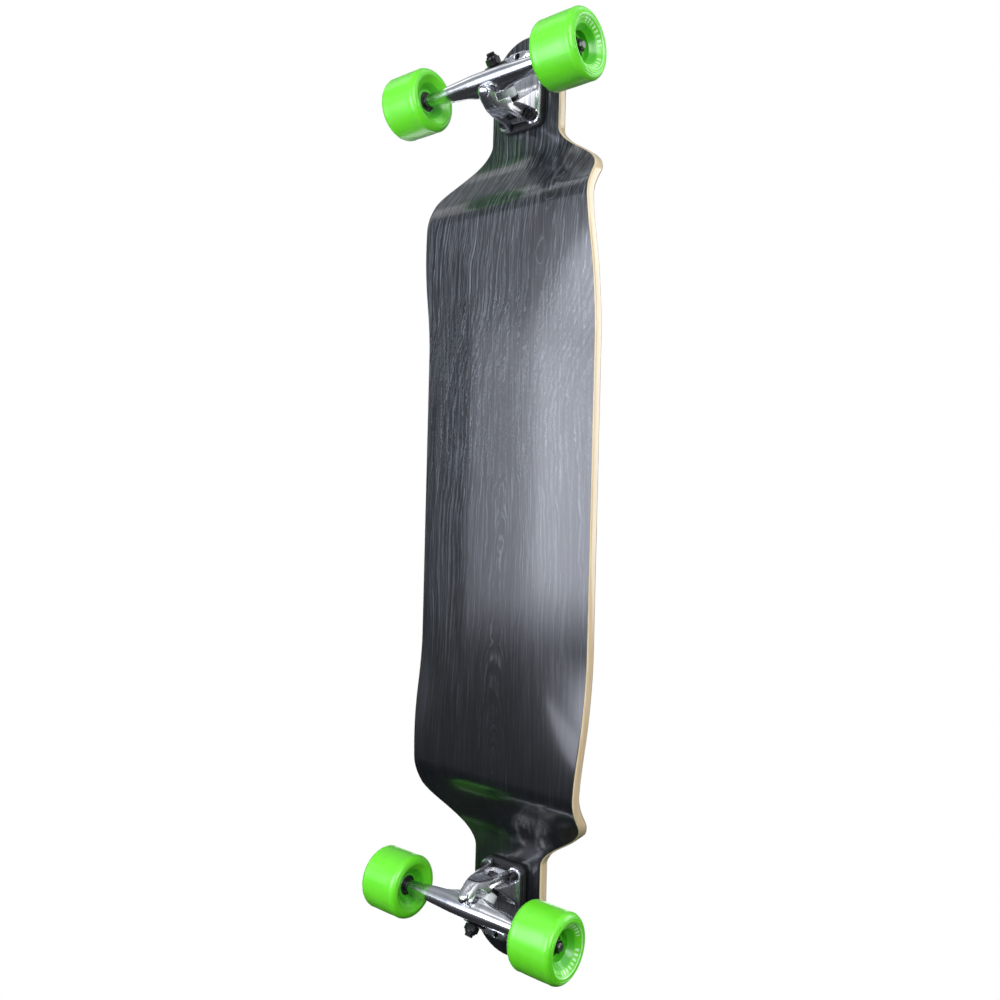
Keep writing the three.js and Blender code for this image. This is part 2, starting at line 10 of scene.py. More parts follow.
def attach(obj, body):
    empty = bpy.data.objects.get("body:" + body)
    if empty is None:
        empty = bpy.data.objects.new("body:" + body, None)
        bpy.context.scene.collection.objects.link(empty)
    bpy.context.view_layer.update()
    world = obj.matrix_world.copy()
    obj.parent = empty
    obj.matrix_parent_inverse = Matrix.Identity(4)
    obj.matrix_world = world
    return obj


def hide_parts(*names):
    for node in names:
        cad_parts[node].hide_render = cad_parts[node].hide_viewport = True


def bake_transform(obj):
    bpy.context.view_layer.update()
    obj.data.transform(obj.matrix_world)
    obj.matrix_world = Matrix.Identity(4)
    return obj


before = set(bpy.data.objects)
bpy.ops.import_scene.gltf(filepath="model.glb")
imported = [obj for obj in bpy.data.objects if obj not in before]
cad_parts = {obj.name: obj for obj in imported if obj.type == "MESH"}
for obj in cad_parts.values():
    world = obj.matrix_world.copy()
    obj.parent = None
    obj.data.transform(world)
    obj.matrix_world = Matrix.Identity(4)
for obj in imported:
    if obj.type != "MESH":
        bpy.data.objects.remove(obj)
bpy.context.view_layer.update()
MM = 0.001

# ---- dimensions, in millimetres --------------------------------------------

DECK_HALF_LENGTH = 525.5
PLATFORM_HALF_WIDTH = 119.5
WAIST_HALF_WIDTH = 114.0
NECK_HALF_WIDTH = 48.5
DECK_THICKNESS = 12.5
PLATFORM_BOTTOM = 64.0
NECK_BOTTOM = 103.0
TAPER_START, DROP_START, DROP_END = 230.0, 312.0, 396.0
SHOULDER_START, SHOULDER_END, SHOULDER_SKEW = 341.0, 412.0, 1.15
CONCAVE_RISE, CONCAVE_FULL, CONCAVE_END, CONCAVE_FLAT = 14.0, 165.0, 315.0, 0.3
EDGE_ROUND, PLY_EDGE_START = 2.6, 0.35
TAPE_GAP, TAPE_THICKNESS, TAPE_INSET, TAPE_ROUND = 0.05, 1.0, 1.5, 0.3
HALF_WHEELBASE = 450.0
AXLE_HEIGHT = 35.0
WHEEL_RADIUS, WHEEL_INNER, WHEEL_OUTER, WHEEL_LIP = 35.0, 79.0, 133.0, 7.5
FACE_RADIUS, FACE_ROUND = 27.2, 1.9
BEARING_RADIUS, BEARING_WIDTH = 11.05, 7.0
INNER_BEARING, OUTER_BEARING = 91.0, 108.0
PLATE_MIDDLE, PLATE_HALF_THICKNESS = 94.0, 3.0
BOLT_PLACES = [(x, y) for x in (-24.6, 29.4) for y in (20.6, -20.6)]

# The steering axis goes up and forwards through the middle of the hanger's seat ring.

STEER = math.radians(50.0)
SIN, COS = math.sin(STEER), math.cos(STEER)
RING_X, RING_Z = 7.5, 57.3
SEAT_RING_RADIUS = 15.0
LEANS = (-20.0, 0.0, 20.0)
AXIS_UP = Vector((COS, 0, SIN))
PIN_UP = Vector((-SIN, 0, COS))

# ---- meshes ----------------------------------------------------------------

def linked(name, data):
    """A new object of the scene."""
    obj = bpy.data.objects.new(name, data)
    bpy.context.scene.collection.objects.link(obj)
    return obj


def mesh_object(name, vertices, faces, smooth_angle=35, **attributes):
    """A mesh object from millimetres, smooth but for edges sharper than the angle."""
    mesh = bpy.data.meshes.new(name)
    mesh.from_pydata([tuple(MM * c for c in v) for v in vertices], [], faces)
    for key, values in attributes.items():
        mesh.attributes.new(key, "FLOAT", "POINT").data.foreach_set("value", values)
    obj = linked(name, mesh)
    tidy_mesh(obj, smooth_angle)
    return obj


def object_of(name, work):
    """An object from a bmesh, which is freed."""
    mesh = bpy.data.meshes.new(name)
    work.to_mesh(mesh)
    work.free()
    return linked(name, mesh)


def tidy_mesh(obj, smooth_angle):
    """Merges doubled points, turns the faces outwards and marks the sharp edges."""
    work = bmesh.new()
    work.from_mesh(obj.data)
    bmesh.ops.remove_doubles(work, verts=work.verts, dist=1e-6)
    bmesh.ops.dissolve_degenerate(work, edges=work.edges, dist=1e-7)
    loose = [edge for edge in work.edges if not edge.link_faces]
    bmesh.ops.delete(work, geom=loose, context="EDGES")
    bmesh.ops.recalc_face_normals(work, faces=work.faces)
    limit = math.radians(smooth_angle)
    for face in work.faces:
        face.smooth = True
    for edge in work.edges:
        edge.smooth = edge.is_manifold and edge.calc_face_angle(0) < limit
    work.to_mesh(obj.data)
    work.free()


def ring_faces(rings, count, closed=False):
    """Faces between one ring of points and the next, and from the last to the first if closed."""
    faces = []
    for i in range(rings if closed else rings - 1):
        here, after = i * count, ((i + 1) % rings) * count
        for j in range(count):
            k = (j + 1) % count
            faces.append((here + j, here + k, after + k, after + j))
    return faces


def lathe(name, profile, segments=96, radius_at=None, smooth_angle=35):
    """A closed ring turned about the Y axis from closed [radius, y] points."""
    vertices = []
    for i in range(segments):
        angle = 2 * math.pi * i / segments
        for radius, along in profile:
            if radius_at:
                radius = min(radius, radius_at(angle))
            vertices.append((radius * math.cos(angle), along, radius * math.sin(angle)))
    faces = ring_faces(segments, len(profile), closed=True)
    return mesh_object(name, vertices, faces, smooth_angle)


def arc(centre, radius, start, end, steps):
    """Points on an arc, with angles in degrees from the radial direction towards +Y."""
    points = []
    for i in range(steps + 1):
        angle = math.radians(start + (end - start) * i / max(1, steps))
        points.append((centre[0] + radius * math.cos(angle), centre[1] + radius * math.sin(angle)))
    return points


def place(obj, body, slot, *nodes):
    """Puts a piece in the frame on the body that it rides on, and hides the CAD parts that it stands for; the
    slot, its finish, is not used.
    """
    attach(obj, body)
    if nodes:
        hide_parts(*nodes)


# ---- materials, whose coordinates are in metres ----------------------------

KNOT_X, KNOT_Y, KNOT_REACH = -0.295, 0.008, 0.17
RING_SLANT, RING_SPACING = 0.15, 0.0034
PLY_COUNT = 8.0


class Nodes:
    """Shorthand for making and linking the nodes of one tree."""

    def __init__(self, tree):
        self.tree = tree

    def node(self, kind, *inputs, out=0, **settings):
        made = self.tree.nodes.new("ShaderNode" + kind)
        for key, value in settings.items():
            setattr(made, key, value)
        for socket, value in enumerate(inputs):
            self.put(made.inputs[socket], value)
        return made.outputs[out]

    def put(self, socket, value):
        if value is None:
            return
        if isinstance(value, bpy.types.NodeSocket):
            self.tree.links.new(value, socket)
        else:
            socket.default_value = value

    def mapped(self, vector, scale, rotation=(0, 0, 0)):
        return self.node("Mapping", vector, None, rotation, scale)

    def separate(self, vector):
        made = self.tree.nodes.new("ShaderNodeSeparateXYZ")
        self.put(made.inputs[0], vector)
        return made.outputs

    def noise(self, vector, scale, detail=2.0, roughness=0.5):
        return self.noise_of(Vector=vector, Scale=scale, Detail=detail, Roughness=roughness)

    def bands(self, value, scale, detail, roughness):
        """Noise along one value, as growth rings vary in width and darkness."""
        return self.noise_of("1D", W=value, Scale=scale, Detail=detail, Roughness=roughness)

    def noise_of(self, dimensions="3D", **values):
        made = self.tree.nodes.new("ShaderNodeTexNoise")
        made.noise_dimensions = dimensions
        for key, value in values.items():
            self.put(made.inputs[key], value)
        return made.outputs[0]

    def math(self, operation, a, b=None):
        return self.node("Math", a, b, operation=operation)

    def add(self, *values):
        total = values[0]
        for value in values[1:]:
            total = self.math("ADD", total, value)
        return total

    def times(self, *values):
        product = values[0]
        for value in values[1:]:
            product = self.math("MULTIPLY", product, value)
        return product

    def away_from(self, value, middle):
        """How far the value is from the middle, either way."""
        return self.math("ABSOLUTE", self.math("SUBTRACT", value, middle))

    def between(self, value, low, high, start=0.0, end=1.0):
        """The value remapped from low..high to start..end, clamped and eased."""
        made = self.tree.nodes.new("ShaderNodeMapRange")
        made.interpolation_type = "SMOOTHSTEP"
        for socket, given in enumerate([value, low, high, start, end]):
            self.put(made.inputs[socket], given)
        return made.outputs[0]

    def mix(self, share, a, b):
        made = self.tree.nodes.new("ShaderNodeMix")
        made.data_type = "RGBA"
        self.put(made.inputs[0], share)
        for socket, value in ((6, a), (7, b)):
            self.put(made.inputs[socket], (*value, 1.0) if isinstance(value, tuple) else value)
        return made.outputs[2]


class Shader(Nodes):
    """A material's nodes, with one Principled shader."""

    def __init__(self, name, **values):
        self.material = bpy.data.materials.new(name)
        self.material.use_nodes = True
        super().__init__(self.material.node_tree)
        self.surface = self.tree.nodes["Principled BSDF"]
        for socket, value in values.items():
            self.surface.inputs[socket.replace("_", " ")].default_value = value

    def coordinates(self):
        return self.node("TexCoord", out="Object")

    def colour(self, value):
        self.put(self.surface.inputs["Base Color"], value)

    def roughness(self, value):
        self.put(self.surface.inputs["Roughness"], value)

    def bump(self, height, distance, strength=1.0):
        made = self.tree.nodes.new("ShaderNodeBump")
        made.inputs["Distance"].default_value = distance
        made.inputs["Strength"].default_value = strength
        self.put(made.inputs["Height"], height)
        self.put(self.surface.inputs["Normal"], made.outputs[0])

    def on(self, obj):
        obj.data.materials.clear()
        obj.data.materials.append(self.material)


def ring_distance(s, where, x, y):
    """How far a point is through the growth rings, and the slow noise that bends them.

    The rings are ellipses round a small knot. They straighten out along the platform and
    lean over towards the nose, where the grain is crimped.
    """
    drift = s.noise(s.mapped(where, (4.0, 9.0, 4.0)), 1.0, 3.0)
    curl = s.noise(s.mapped(where, (22.0, 40.0, 22.0)), 1.0, 3.0, 0.6)
    crimp = s.noise(s.mapped(where, (120.0, 190.0, 120.0)), 1.0, 3.0, 0.65)
    reach = KNOT_REACH * RING_SLANT
    along = s.between(x, KNOT_X - KNOT_REACH, KNOT_X + KNOT_REACH, -reach, reach)
    lean = s.add(s.between(x, 0.08, 0.24, 0.0, 0.045), s.between(x, 0.2, 0.42, 0.0, 0.02))
    aside = s.math("SUBTRACT", s.math("SUBTRACT", y, KNOT_Y), lean)
    from_knot = s.math("SQRT", s.add(s.times(along, along), s.times(aside, aside)))
    crimped = s.times(s.between(x, -0.04, 0.10), s.between(x, 0.17, 0.27, 1.0, 0.0))
    bent = s.add(from_knot, s.times(drift, 0.035), s.times(curl, 0.006))
    return s.add(bent, s.times(crimp, s.times(crimped, 0.012))), drift


def stained_wood():
    """Black-stained maple under lacquer, with the pale ply edge of the rails."""
    s = Shader("stained_maple", Coat_Weight=1.0, Coat_Roughness=0.16, Specular_IOR_Level=0.2)
    where = s.coordinates()
    x, y, _ = s.separate(where)
    distance, drift = ring_distance(s, where, x, y)
    rings = s.bands(distance, 1.0 / RING_SPACING, 4.0, 0.75)
    wave = s.math("SINE", s.times(distance, 2 * math.pi / (1.6 * RING_SPACING)))
    breaks = s.noise(s.mapped(where, (16.0, 260.0, 60.0)), 1.0, 3.0, 0.65)
    fine = s.noise(s.mapped(where, (9.0, 620.0, 80.0), (0, 0, 0.02)), 1.0, 3.0, 0.65)
    pores = s.noise(s.mapped(where, (45.0, 1900.0, 90.0)), 1.0, 1.0, 0.5)

    # Thin pale lines where the rings' noise crosses one level, broken up along the grain,
    # and stronger towards the nose. Their fade towards the tail is painted shade, which makes the tail darker
    # than the nose.
    late = s.between(s.away_from(rings, 0.56), 0.0, 0.07, 1.0, 0.0)
    late = s.times(late, s.between(breaks, 0.35, 0.6, 0.15, 1.0))
    early = s.times(s.between(wave, 0.80, 1.0), s.between(breaks, 0.42, 0.62))
    grain_and_painted_shade = s.add(s.times(late, 0.42), s.times(early, 0.30), s.between(fine, 0.5, 0.78, 0.0, 0.35))
    # Painted shade: the pale lines are faded out towards the tail.
    grain_and_painted_shade = s.times(grain_and_painted_shade, s.between(x, -0.30, 0.10, 0.10, 1.0))
    stain = s.mix(grain_and_painted_shade, (0.0020, 0.0025, 0.0034), (0.20, 0.225, 0.25))
    stain = s.mix(s.between(pores, 0.55, 0.8, 0.0, 0.6), stain, (0.0015, 0.0015, 0.002))

    ply = s.node("Attribute", attribute_name="ply", out="Fac")
    edge = s.node("Attribute", attribute_name="edge", out="Fac")
    plies = s.math("FRACT", s.add(s.times(ply, PLY_COUNT), s.times(drift, 0.2)))
    glue = s.between(s.away_from(plies, 0.5), 0.38, 0.5)
    tint = s.noise(s.mapped(where, (30.0, 30.0, 900.0)), 1.0, 3.0)
    maple = s.mix(tint, (0.47, 0.34, 0.18), (0.78, 0.66, 0.44))
    maple = s.mix(s.times(glue, 0.55), maple, (0.30, 0.19, 0.10))

    s.colour(s.mix(edge, stain, maple))
    s.roughness(s.add(0.34, s.times(fine, 0.2)))
    s.bump(s.add(s.times(fine, 0.5), s.times(breaks, 0.6), s.times(rings, 0.4)), 0.0002, 0.5)
    return s


def grip_tape():
    s = Shader("grip_tape", Specular_IOR_Level=0.4)
    where = s.coordinates()
    grit = s.noise(where, 1400.0, 2.0, 0.7)
    coarse = s.noise(where, 500.0, 2.0, 0.7)
    worn = s.noise(s.mapped(where, (3.0, 6.0, 6.0)), 1.0, 4.0, 0.6)
    base = s.mix(s.between(grit, 0.45, 0.75), (0.006, 0.006, 0.007), (0.055, 0.056, 0.060))
    s.colour(s.mix(s.between(worn, 0.45, 0.75, 0.0, 0.3), base, (0.09, 0.088, 0.082)))
    s.roughness(s.between(grit, 0.4, 0.8, 0.95, 0.5))
    s.bump(s.add(grit, coarse), 0.0007)
    return s


def ring_between(s, radius, low, high, soft=0.0002):
    """1 between the two radii and 0 outside them, with soft edges."""
    return s.times(s.between(radius, low, low + soft), s.between(radius, high + soft, high))


def urethane():
    """Lime urethane with a worn tread and a ring of printed marks in the outer recess."""
    s = Shader("green_urethane", Subsurface_Weight=0.2, Subsurface_Radius=(0.004, 0.008, 0.002),
               Subsurface_Scale=1.0, Coat_Weight=0.4, Coat_Roughness=0.22)
    where = s.coordinates()
    x, y, z = s.separate(where)
    radius = s.math("SQRT", s.add(s.times(x, x), s.times(z, z)))
    angle = s.math("ARCTAN2", z, x)
    mottle = s.noise(where, 60.0, 4.0, 0.6)
    scuff = s.noise(s.mapped(where, (200.0, 20.0, 200.0)), 1.0, 3.0, 0.65)
    base = s.mix(mottle, (0.105, 0.61, 0.012), (0.145, 0.71, 0.022))
    worn = s.times(s.between(radius, 0.0335, 0.0346), s.between(scuff, 0.45, 0.75, 0.0, 0.3))
    base = s.mix(worn, base, (0.19, 0.58, 0.07))
    hub = s.between(radius, 0.0188, 0.0204, 1.0, 0.0)
    base = s.mix(s.times(hub, 0.75), base, (0.045, 0.45, 0.012))
    outer = s.between(y, 0.1180, 0.1190)
    band = ring_between(s, radius, 0.0207, 0.0240, 0.0004)
    dashes = s.between(s.math("SINE", s.times(angle, 30.0)), -0.1, 0.1)
    gaps = s.between(s.math("SINE", s.times(angle, 3.0)), -0.75, -0.65)
    marks = s.times(s.times(band, outer), s.times(dashes, gaps))
    line = ring_between(s, radius, 0.0254, 0.0260)
    marks = s.math("MAXIMUM", marks, s.times(line, outer))
    s.colour(s.mix(s.times(marks, 0.85), base, (0.55, 0.90, 0.50)))
    s.roughness(s.add(s.times(worn, 0.5), 0.36))
    s.bump(s.add(mottle, s.times(scuff, 0.4)), 0.0002, 0.4)
    return s


def plain_metal(name, colour, roughness, metallic=1.0):
    s = Shader(name, Metallic=metallic)
    where = s.coordinates()
    cloud = s.noise(where, 90.0, 4.0, 0.6)
    s.colour(s.mix(cloud, tuple(0.8 * c for c in colour), tuple(min(1, 1.15 * c) for c in colour)))
    s.roughness(s.between(cloud, 0.3, 0.7, roughness - 0.06, roughness + 0.08))
    s.bump(s.noise(where, 900.0, 2.0), 0.00008, 0.5)
    return s


def polished_aluminium(name, roughness, stretch):
    """Cast metal polished by hand, with streaks along its length: in the roughness they are rubbing marks,
    and in the colour they are painted reflection, light and dark bands.
    """
    s = Shader(name, Metallic=1.0)
    where = s.coordinates()
    waves = s.noise(s.mapped(where, tuple(0.35 * c for c in stretch)), 1.0, 3.0, 0.55)
    streaks = s.noise(s.mapped(where, tuple(1.6 * c for c in stretch)), 1.0, 3.0, 0.6)
    scratches = s.noise(s.mapped(where, tuple(6.0 * c for c in stretch)), 1.0, 2.0, 0.6)
    smudge = s.noise(where, 45.0, 4.0, 0.6)
    # Painted reflection: the streaks turn the colour light and dark in bands along the part.
    bright = s.mix(s.between(streaks, 0.35, 0.65), (0.50, 0.51, 0.55), (0.93, 0.94, 0.96))
    s.colour(s.mix(s.between(smudge, 0.5, 0.8, 0.0, 0.35), bright, (0.60, 0.60, 0.62)))
    s.roughness(s.between(streaks, 0.3, 0.7, roughness + 0.14, roughness))
    s.bump(s.add(s.times(scratches, 0.12), waves), 0.0005, 0.5)
    return s


def pearl_urethane():
    s = Shader("pearl_urethane", Subsurface_Weight=0.3, Subsurface_Radius=(0.003, 0.003, 0.003),
               Subsurface_Scale=1.0, Coat_Weight=0.6, Coat_Roughness=0.15)
    where = s.coordinates()
    cloud = s.noise(where, 120.0, 3.0, 0.5)
    s.colour(s.mix(cloud, (0.74, 0.76, 0.80), (0.88, 0.90, 0.93)))
    s.roughness(s.between(cloud, 0.3, 0.7, 0.3, 0.42))
    s.bump(cloud, 0.0002, 0.4)
    return s


# ---- stage, camera and lights, in metres -----------------------------------

WORLD_DARK, WORLD_LIGHT = 0.035, 0.42
FLOOR_HALF = 6.0
CAMERA_PLACE = (-0.00918, 0.62020, -0.69344)
CAMERA_RIGHT = Vector((0.02465, 0.77779, 0.62804))
CAMERA_DOWN = Vector((-0.99969, 0.01710, 0.01807))
CAMERA_FORWARD = Vector((0.00332, -0.62829, 0.77798))
CAMERA_LENS, SENSOR_WIDTH = 31.75, 36.0  # millimetres
LAVENDER = (0.84, 0.88, 1.0)

# Lights that face straight up at the deck, whose mirror images make its soft reflection:
# name, watts, place, size. The steps share their near edge, and each ends before the last one.
LIGHTS_BELOW = (
    ("wide_below", 5.0, (0.27, -0.37, -1.0), (1.26, 1.34)),
    ("step_below_1", 2.5, (0.08, -0.36, -1.01), (0.76, 1.32)),
    ("step_below_2", 3.6, (0.08, -0.31, -1.02), (0.76, 1.22)),
    ("step_below_3", 3.2, (0.09, -0.26, -1.03), (0.74, 1.12)),
    ("step_below_4", 2.0, (0.11, -0.16, -1.04), (0.70, 0.92)),
    ("step_below_5", 4.6, (0.08, -0.09, -1.05), (0.62, 0.78)),
    ("slope_below", 0.6, (0.60, -0.35, -1.03), (0.28, 0.70)),
    ("side_below", 2.3, (0.15, -2.4, -1.0), (1.3, 2.2)),
    ("patch_below", 0.05, (-0.282, 0.022, -0.15), (0.06, 0.055)),
)

# Lights for the metal, the wheels and the rails: name, watts, place, target, size.
LIGHTS_AROUND = (
    ("key_below", 24.0, (0.7, 1.5, -0.9), (0.1, 0, 0.05), (1.4, 0.7)),
    ("card_beside", 5.0, (1.35, 1.45, 0.35), (0.45, 0, 0.07), (1.2, 0.9)),
    ("card_nose", 3.0, (2.1, 0.5, 0.75), (0.45, 0, 0.07), (0.9, 0.9)),
    ("strip_front", 2.0, (1.9, -1.0, -0.35), (0.45, 0, 0.05), (0.9, 0.7)),
    ("fill_above", 40.0, (0.6, 1.6, 2.2), (0, 0, 0), (2.0, 1.6)),
    ("back_above", 20.0, (-1.2, -1.6, 2.0), (0, 0, 0), (1.6, 1.6)),
)


def light(name, energy, place_at, target, size, colour=(1, 1, 1)):
    """An area light that faces its target."""
    data = bpy.data.lights.new(name, "AREA")
    data.shape = "RECTANGLE"
    data.size, data.size_y = size
    data.energy = energy
    data.color = colour
    obj = linked(name, data)
    obj.location = place_at
    direction = Vector(target) - Vector(place_at)
    obj.rotation_euler = direction.to_track_quat("-Z", "Y").to_euler()


def make_camera():
    data = bpy.data.cameras.new("camera")
    data.sensor_width = SENSOR_WIDTH
    data.lens = CAMERA_LENS
    data.clip_start = 0.01
    camera = linked("camera", data)
    turn = Matrix((CAMERA_RIGHT, -CAMERA_DOWN, -CAMERA_FORWARD)).transposed().to_4x4()
    camera.matrix_world = Matrix.Translation(CAMERA_PLACE) @ turn
    bpy.context.scene.camera = camera


def make_floor():
    """A pale floor, seen from above only, that casts no shadow and shows in no reflection."""
    side = FLOOR_HALF
    corners = [(-side, -side, 0), (side, -side, 0), (side, side, 0), (-side, side, 0)]
    mesh = bpy.data.meshes.new("floor")
    mesh.from_pydata(corners, [], [(0, 1, 2, 3)])
    floor = linked("floor", mesh)
    s = Shader("floor", Roughness=0.8)
    s.colour((0.86, 0.86, 0.86, 1))
    clear = s.node("BsdfTransparent")
    beneath = s.node("NewGeometry", out="Backfacing")
    seen = s.node("MixShader", beneath, s.surface.outputs[0], clear)
    s.put(s.tree.nodes["Material Output"].inputs[0], seen)
    s.on(floor)
    floor.visible_shadow = False
    floor.visible_glossy = False
    floor.visible_diffuse = False
    floor.visible_transmission = False


def make_world():
    """White to the camera; to the board, a dim sky that is lighter towards its nose."""
    world = bpy.data.worlds.new("world")
    bpy.context.scene.world = world
    world.use_nodes = True
    s = Nodes(world.node_tree)
    along, _, _ = s.separate(s.node("TexCoord", out="Generated"))
    strength = s.between(along, -0.7, 0.9, WORLD_DARK, WORLD_LIGHT)
    sky = s.tree.nodes["Background"]
    s.put(sky.inputs["Color"], (0.80, 0.84, 0.90, 1))
    s.put(sky.inputs["Strength"], strength)
    bright = s.node("Background", (1, 1, 1, 1))
    seen = s.node("MixShader", s.node("LightPath", out="Is Camera Ray"), sky.outputs[0], bright)
    s.put(s.tree.nodes["World Output"].inputs[0], seen)


def make_stage():
    bpy.context.scene.view_settings.view_transform = "Standard"
    make_camera()
    make_floor()
    make_world()
    for name, energy, place_at, size in LIGHTS_BELOW:
        above = (place_at[0], place_at[1], 0.0)
        light(name, energy, place_at, above, size, LAVENDER)
    for name, energy, place_at, target, size in LIGHTS_AROUND:
        light(name, energy, place_at, target, size)


# ---- deck ------------------------------------------------------------------

def ease(value):
    return 0.5 - 0.5 * math.cos(math.pi * min(1.0, max(0.0, value)))


def share(value, start, end):
    return min(1.0, max(0.0, (value - start) / (end - start)))


def half_width_at(x):
    along = abs(x)
    end_centre = DECK_HALF_LENGTH - NECK_HALF_WIDTH
    if along >= end_centre:
        return math.sqrt(max(0.0, NECK_HALF_WIDTH**2 - (along - end_centre) ** 2))
    taper = ease(share(along, TAPER_START, SHOULDER_START))
    rail = PLATFORM_HALF_WIDTH + (WAIST_HALF_WIDTH - PLATFORM_HALF_WIDTH) * taper
    shoulder = ease(share(along, SHOULDER_START, SHOULDER_END) ** SHOULDER_SKEW)
    return rail + (NECK_HALF_WIDTH - rail) * shoulder


def underside_at(x, across):
    along = abs(x)
    drop = (NECK_BOTTOM - PLATFORM_BOTTOM) * ease(share(along, DROP_START, DROP_END))
    fade = 1 - ease(share(along, CONCAVE_FULL, CONCAVE_END))
    return PLATFORM_BOTTOM + drop + CONCAVE_RISE * fade * share(abs(across), CONCAVE_FLAT, 1) ** 2


def thickness_at(x):
    slope = (underside_at(x + 1, 0) - underside_at(x - 1, 0)) / 2
    return DECK_THICKNESS * math.hypot(1, slope)


def deck_stations():
    """Places along the deck with the outline's outward direction at each: (x, half width, nx, ny)."""
    half = [0.0]
    for end, step in ((DROP_START, 8.0), (SHOULDER_END, 2.0), (DECK_HALF_LENGTH - NECK_HALF_WIDTH, 6.0)):
        start = half[-1]
        count = math.ceil((end - start) / step)
        half += [start + (end - start) * (i + 1) / count for i in range(count)]
    rows = []
    for x in half:
        slope = (half_width_at(x + 0.5) - half_width_at(x - 0.5)) if x < half[-1] else 0.0
        long = math.hypot(1, slope)
        rows.append((x, half_width_at(x), -slope / long, 1 / long))
    turns = 22
    for i in range(1, turns + 1):
        angle = math.pi / 2 * i / turns
        s, c = math.sin(angle), math.cos(angle)
        rows.append((half[-1] + NECK_HALF_WIDTH * s, NECK_HALF_WIDTH * c, s, c))
    return [(-x, w, -nx, ny) for x, w, nx, ny in reversed(rows[1:])] + rows


def deck_shell(name, low_at, high_at, inset, rounding):
    """A closed sheet along the deck with rounded rails, with how far up its edge each point lies."""
    columns, turns = 36, 5
    outward, inward = range(1, turns + 1), range(turns, 0, -1)

    def rounded(top, across, steps):
        angles = [math.pi / 2 * i / turns for i in steps]
        return [(rounding * (1 - math.sin(a)), rounding * (1 - math.cos(a)), top, across) for a in angles]

    # Each point: inset from the outline, distance from its face, top or not, part of the half width.
    ring = [(rounding, 0.0, False, -1 + 2 * i / columns) for i in range(columns + 1)]
    ring += rounded(False, 1.0, outward) + rounded(True, 1.0, inward)
    ring += [(rounding, 0.0, True, 1 - 2 * i / columns) for i in range(columns + 1)]
    ring += rounded(True, -1.0, outward) + rounded(False, -1.0, inward)
    vertices, edge, ply = [], [], []
    for x, width, nx, ny in deck_stations():
        for cut, lift, top, t in ring:
            px = x - (cut + inset) * nx
            py = t * max(0.0, width - (cut + inset) * ny)
            low, high = low_at(px, t), high_at(px, t)
            z = high - lift if top else low + lift
            vertices.append((px, py, z))
            edge.append(1.0 if rounding - cut > PLY_EDGE_START * rounding else 0.0)
            ply.append((z - low) / (high - low))
    faces = ring_faces(len(vertices) // len(ring), len(ring))
    return mesh_object(name, vertices, faces, 40, edge=edge, ply=ply)


def screw_holes(places):
    """One cutter of countersunk holes for the screws, in frames whose Y axis points up."""
    bore, sink, low, high = 2.6, 4.9, 95.0, 119.0
    profile = [(0.0, low), (bore, low), (bore, 113.4), (4.8, 115.6), (sink, 116.2), (sink, high), (0.0, high)]
    work = bmesh.new()
    for matrix in places:
        hole = lathe("hole", profile, 40)
        hole.data.transform(matrix)
        work.from_mesh(hole.data)
        bpy.data.objects.remove(hole)
    return object_of("screw_holes", work)


def make_deck():
    def top_at(x, across):
        return underside_at(x, across) + thickness_at(x)

    def tape_low(x, across):
        return top_at(x, across) + TAPE_GAP

    def tape_high(x, across):
        return top_at(x, across) + TAPE_GAP + TAPE_THICKNESS

    stands = [upright_over(truck_matrix(facing), x, y) for facing in (1, -1) for x, y in BOLT_PLACES]
    deck = deck_shell("deck_board", underside_at, top_at, 0.0, EDGE_ROUND)
    cut_with(deck, screw_holes(stands))
    stained_wood().on(deck)
    place(deck, "board", "stained_wood", "deck")
    tape = deck_shell("grip_sheet", tape_low, tape_high, TAPE_INSET, TAPE_ROUND)
    cut_with(tape, screw_holes(stands))
    grip_tape().on(tape)
    place(tape, "board", "grit", "grip_tape")


# ---- wheels ----------------------------------------------------------------

def wheel_profile():
    """The tyre's outline from its bearing seat out, as [radius, distance from the board's middle]."""
    tread_middle, tread_half = 106.0, 18.5
    lip_radius = WHEEL_RADIUS - WHEEL_LIP
    points = [(8.5, 98.3), (BEARING_RADIUS, 98.3), (BEARING_RADIUS, 90.2), (12.4, 90.0), (13.6, 90.3)]
    points += [(14.2, 89.4), (16.5, 87.4), (17.0, 86.6), (19.5, 84.4), (22.5, 82.0), (25.2, 80.3)]
    points += arc((FACE_RADIUS, WHEEL_INNER + FACE_ROUND), FACE_ROUND, 235, 270, 4)
    points += arc((lip_radius, WHEEL_INNER + WHEEL_LIP), WHEEL_LIP, -90, -4, 12)
    for i in range(9):
        across = -1 + i / 4
        points.append((WHEEL_RADIUS - 0.25 * across * across, tread_middle + tread_half * across))
    for i in range(31):
        angle = 4 + 86 * i / 30
        in_groove = 64 < angle < 69 or 77 < angle < 82
        reach = WHEEL_LIP - (0.45 if in_groove else 0.0)
        points += arc((lip_radius, WHEEL_OUTER - WHEEL_LIP), reach, angle, angle, 0)
    points += arc((FACE_RADIUS, WHEEL_OUTER - FACE_ROUND), FACE_ROUND, 90, 125, 4)
    points += [(25.2, 131.7), (23.8, 130.6), (23.4, 130.6), (20.0, 127.4), (19.5, 127.5), (17.2, 124.9)]
    points += [(16.6, 124.0), (14.2, 121.6), (13.6, 116.0), (12.4, 115.8), (BEARING_RADIUS, 115.6)]
    points += [(BEARING_RADIUS, 107.7), (8.5, 107.7)]
    return points


def make_wheels():
    material = urethane()
    for end, facing in (("front", 1), ("rear", -1)):
        for side_name, side in (("left", 1), ("right", -1)):
            name = f"{end}_{side_name}"
            tyre = lathe(f"{name}_tyre", wheel_profile(), 128)
            tyre.matrix_world = wheel_matrix(facing, side)
            material.on(tyre)
            place(tyre, f"{name}_wheel", "wheel_urethane", f"{name}_wheel")


# ---- cast shapes -----------------------------------------------------------

